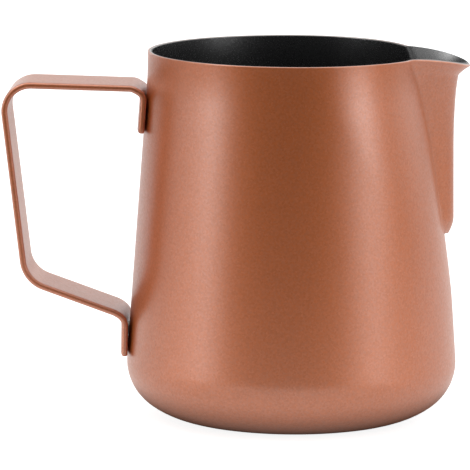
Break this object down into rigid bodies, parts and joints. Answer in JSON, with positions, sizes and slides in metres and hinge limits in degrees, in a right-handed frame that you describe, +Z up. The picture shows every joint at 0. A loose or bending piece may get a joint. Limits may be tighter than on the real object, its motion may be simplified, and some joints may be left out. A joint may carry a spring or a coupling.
{
  "type": "milk frothing jug",
  "caption": "Hand jug for frothing milk under a steam wand: tapered steel body, pressed pouring spout, bent strap handle, black non-stick inside",
  "frame": {"origin": "centre of the flat base, on the surface that the jug stands on", "axes": "+Z up, along the jug's own axis; +X from the handle to the spout; Y across the jug, which is symmetric about the XZ plane"},
  "size_m": [0.1127, 0.08, 0.0894],
  "materials": {
    "copper_coat": "satin copper-coloured metallic coat with a fine grain, over stainless steel sheet",
    "black_nonstick": "black non-stick coat with a low sheen",
    "weld_steel": "bare fused steel, hidden between the tabs and the wall"
  },
  "bodies": {
    "root": {"jug_body": "copper_coat", "nonstick_lining": "black_nonstick", "handle_strap": "copper_coat", "upper_spot_weld_top": "weld_steel", "upper_spot_weld_bottom": "weld_steel", "lower_spot_weld_top": "weld_steel", "lower_spot_weld_bottom": "weld_steel"}
  },
  "joints": []
}
